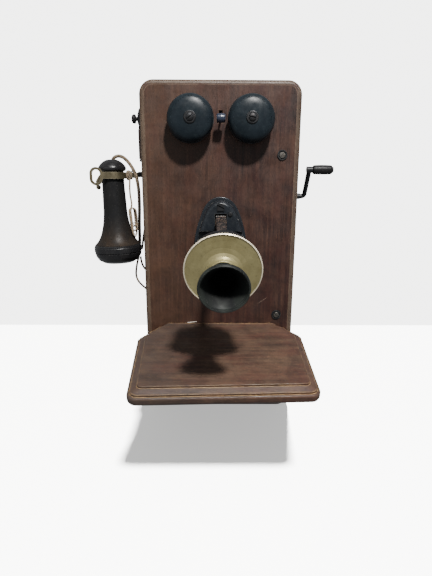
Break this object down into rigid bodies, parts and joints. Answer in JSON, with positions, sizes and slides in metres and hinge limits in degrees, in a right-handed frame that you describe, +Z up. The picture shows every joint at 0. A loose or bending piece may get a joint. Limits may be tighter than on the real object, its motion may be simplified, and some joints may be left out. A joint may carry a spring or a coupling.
{
  "type": "wall telephone",
  "caption": "Wooden magneto wall telephone: hinged front with bells, tilting mouthpiece and writing shelf, hanging receiver on a hook switch, side crank.",
  "frame": {"origin": "bottom centre of the case on the surface it stands on, midway between the door's front and the back of the backboard", "axes": "+X to the right of a person facing the telephone, +Y into the wall, +Z up"},
  "size_m": [0.3746, 0.3582, 0.503],
  "materials": {
    "oak_door": "aged reddish-brown varnish, satin",
    "oak_shelf": "aged brown varnish, satin, worn edges",
    "oak_case": "aged dark varnish, satin",
    "inner_wood": "bare, dull",
    "gong_metal": "blue-black, satin gloss",
    "dark_steel": "darkened, satin",
    "aged_brass": "tarnished, matte",
    "bronze": "tarnished, worn bright on the edges",
    "black_iron": "black enamel, satin gloss",
    "hard_rubber": "black hard rubber, satin gloss",
    "cord_cloth": "braided tan cotton",
    "magnet_steel": "dull red paint",
    "coil_wrap": "waxed green cotton winding",
    "cell_card": "plain cardboard sleeve",
    "grey_steel": "plain, dull",
    "carbon": "dull"
  },
  "bodies": {
    "case": {"backboard": "oak_case", "side_left": "oak_case", "side_right": "oak_case", "top_board": "oak_case", "bottom_board": "oak_case", "inner_shelf": "inner_wood", "strike_plates": "aged_brass", "case_hinges": "black_iron", "magneto_frame": "grey_steel", "magneto_magnets": "magnet_steel", "crank_bush": "black_iron", "hook_bracket": "dark_steel", "contact_springs": "aged_brass", "hook_escutcheon": "black_iron", "button_housing": "hard_rubber", "button_spring": "aged_brass", "induction_coil": "coil_wrap", "condenser": "grey_steel", "dry_cells": "cell_card", "terminal_block": "inner_wood", "lead_low": "cord_cloth", "lead_middle": "cord_cloth", "lead_high": "cord_cloth"},
    "door": {"door_board": "oak_door", "door_hinges": "black_iron", "shelf": "oak_shelf", "gong_left": "gong_metal", "gong_right": "gong_metal", "gong_posts": "black_iron", "gong_screws": "dark_steel", "ringer_frame": "dark_steel", "ringer_coils": "coil_wrap", "lock_rings": "dark_steel", "transmitter_base": "black_iron", "base_screws": "dark_steel"},
    "lock_lower": {"lock_screw_lower": "dark_steel"},
    "lock_upper": {"lock_screw_upper": "dark_steel"},
    "clapper": {"clapper_armature": "grey_steel", "clapper": "dark_steel"},
    "transmitter": {"arm": "black_iron", "pivot_bolt": "dark_steel", "transmitter_cup": "black_iron", "faceplate": "aged_brass", "faceplate_screws": "dark_steel", "mouthpiece": "hard_rubber", "transmitter_capsule": "carbon"},
    "crank": {"crank_shaft": "dark_steel", "crank_arm": "black_iron", "drive_gear": "aged_brass"},
    "grip": {"crank_grip": "hard_rubber"},
    "armature": {"armature": "grey_steel"},
    "hook": {"hook_lever": "black_iron", "hook_fork": "bronze", "stay_string": "cord_cloth"},
    "receiver": {"receiver_shell": "hard_rubber", "receiver_cap": "hard_rubber", "ear_cap": "hard_rubber", "receiver_magnet": "grey_steel", "receiver_cord": "cord_cloth"},
    "button": {"push_button": "hard_rubber"}
  },
  "joints": [
    {"name": "door_hinge", "type": "hinge", "parent": "case", "child": "door", "pos_m": [-0.1181, -0.0555, 0.25], "axis": [0, 0, -1], "range_deg": [0, 90]},
    {"name": "lock_lower_turn", "type": "hinge", "parent": "door", "child": "lock_lower", "pos_m": [0.0895, -0.075, 0.1604], "axis": [0, 1, 0], "continuous": true},
    {"name": "lock_upper_turn", "type": "hinge", "parent": "door", "child": "lock_upper", "pos_m": [0.0895, -0.075, 0.4016], "axis": [0, 1, 0], "continuous": true},
    {"name": "clapper_swing", "type": "hinge", "parent": "door", "child": "clapper", "pos_m": [0, -0.04, 0.403], "axis": [0, 1, 0], "range_deg": [-3.5, 3.5]},
    {"name": "transmitter_tilt", "type": "hinge", "parent": "door", "child": "transmitter", "pos_m": [0.0008, -0.091, 0.3115], "axis": [-1, 0, 0], "range_deg": [-15, 20]},
    {"name": "crank_turn", "type": "hinge", "parent": "case", "child": "crank", "pos_m": [0.1, -0.015, 0.3415], "axis": [1, 0, 0], "continuous": true},
    {"name": "grip_turn", "type": "hinge", "parent": "crank", "child": "grip", "pos_m": [0.157, -0.04147, 0.38226], "axis": [1, 0, 0], "continuous": true},
    {"name": "armature_turn", "type": "hinge", "parent": "case", "child": "armature", "pos_m": [0, 0.0151, 0.3215], "axis": [1, 0, 0], "continuous": true},
    {"name": "hook_swing", "type": "hinge", "parent": "case", "child": "hook", "pos_m": [-0.07, -0.0293, 0.374], "axis": [0, 1, 0], "range_deg": [0, 8], "stiffness_Nm_per_rad": 0.3, "springref_deg": 28.65, "deforming": ["lead_low", "lead_middle", "lead_high"]},
    {"name": "receiver_lift", "type": "slide", "parent": "hook", "child": "receiver", "axis": [-0.8191, 0, 0.5736], "range_m": [0, 0.12], "deforming": ["receiver_cord"]},
    {"name": "button_press", "type": "slide", "parent": "case", "child": "button", "axis": [1, 0, 0], "range_m": [0, 0.003], "stiffness_N_per_m": 400, "springref_m": -0.002}
  ],
  "couplings": [
    {"joint": "armature_turn", "follows": "crank_turn", "ratio": -5}
  ]
}
